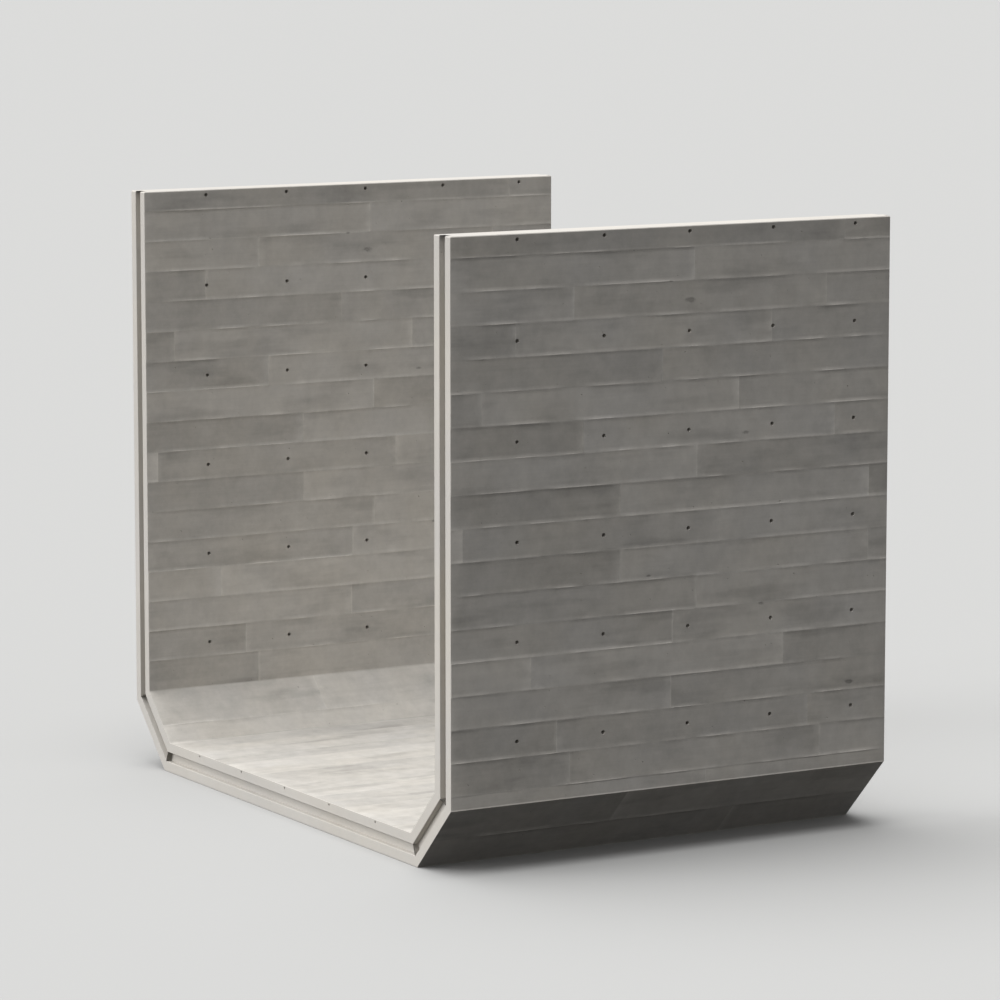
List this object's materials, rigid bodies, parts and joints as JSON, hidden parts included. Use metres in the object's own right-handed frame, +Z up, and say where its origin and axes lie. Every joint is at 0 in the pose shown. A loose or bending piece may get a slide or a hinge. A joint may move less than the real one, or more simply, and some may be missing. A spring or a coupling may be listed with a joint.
{
  "type": "open-topped box culvert unit",
  "caption": "U-shaped open-topped box culvert unit in board-marked precast concrete, with splayed haunches, a joint groove round one end and a tongue round the other.",
  "frame": {"origin": "middle of the unit's base, under the centre of its footprint", "axes": "+X across the channel to the right wall as seen from the grooved end, +Y along the channel from the grooved end to the tongue, +Z up"},
  "size_m": [3.31, 2.425, 2.955],
  "materials": {
    "concrete": "matt grey concrete with the grain and joints of the form boards"
  },
  "bodies": {
    "root": {"floor_slab": "concrete", "left_haunch": "concrete", "right_haunch": "concrete", "left_wall": "concrete", "right_wall": "concrete"}
  },
  "joints": []
}
